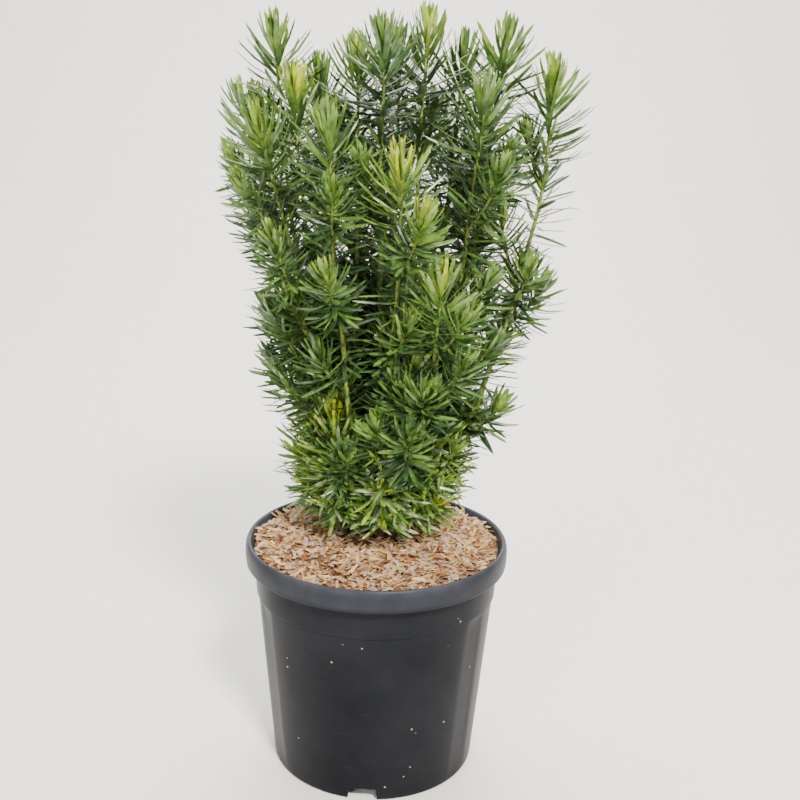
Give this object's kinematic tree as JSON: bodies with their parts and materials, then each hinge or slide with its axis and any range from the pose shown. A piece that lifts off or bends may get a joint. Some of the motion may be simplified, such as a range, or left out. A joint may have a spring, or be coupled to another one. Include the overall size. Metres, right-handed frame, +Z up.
{
  "type": "potted upright plum yew shrub",
  "caption": "Upright multi-stemmed plum yew with needles ringing steep shoots, growing in a round black nursery container topped with bark mulch.",
  "frame": {"origin": "on the container's axis, at the middle of its flat underside", "axes": "+Z up along the container's axis; -Y towards the picture's camera; +X to its right"},
  "size_m": [0.4059, 0.3706, 0.8744],
  "materials": {
    "container": "black injection-moulded polypropylene, satin",
    "potting_mix": "shredded bark mulch over potting mix",
    "bark": "thin bark, olive above and brown at the foot",
    "needles": "leathery green needles on green stems"
  },
  "bodies": {
    "root": {"bough_back_left": "bark", "bough_back_middle": "bark", "bough_back_right": "bark", "bough_centre_back": "bark", "bough_centre_front": "bark", "bough_centre_left": "bark", "bough_centre_top": "bark", "bough_front_centre": "bark", "bough_front_left": "bark", "bough_front_right": "bark", "bough_left_back": "bark", "bough_left_front": "bark", "bough_left_inner": "bark", "bough_left_outer": "bark", "bough_left_tall": "bark", "bough_low_1": "bark", "bough_low_2": "bark", "bough_low_3": "bark", "bough_low_4": "bark", "bough_low_5": "bark", "bough_low_6": "bark", "bough_low_7": "bark", "bough_low_8": "bark", "bough_right_back": "bark", "bough_right_front": "bark", "bough_right_inner": "bark", "bough_right_outer": "bark", "bough_right_tall": "bark", "container": "container", "needles_back_left": "needles", "needles_back_middle": "needles", "needles_back_right": "needles", "needles_centre_back": "needles", "needles_centre_front": "needles", "needles_centre_left": "needles", "needles_centre_top": "needles", "needles_front_centre": "needles", "needles_front_left": "needles", "needles_front_right": "needles", "needles_left_back": "needles", "needles_left_front": "needles", "needles_left_inner": "needles", "needles_left_outer": "needles", "needles_left_tall": "needles", "needles_low_1": "needles", "needles_low_2": "needles", "needles_low_3": "needles", "needles_low_4": "needles", "needles_low_5": "needles", "needles_low_6": "needles", "needles_low_7": "needles", "needles_low_8": "needles", "needles_right_back": "needles", "needles_right_front": "needles", "needles_right_inner": "needles", "needles_right_outer": "needles", "needles_right_tall": "needles", "potting_mix": "potting_mix", "stem_base": "bark"}
  },
  "joints": []
}
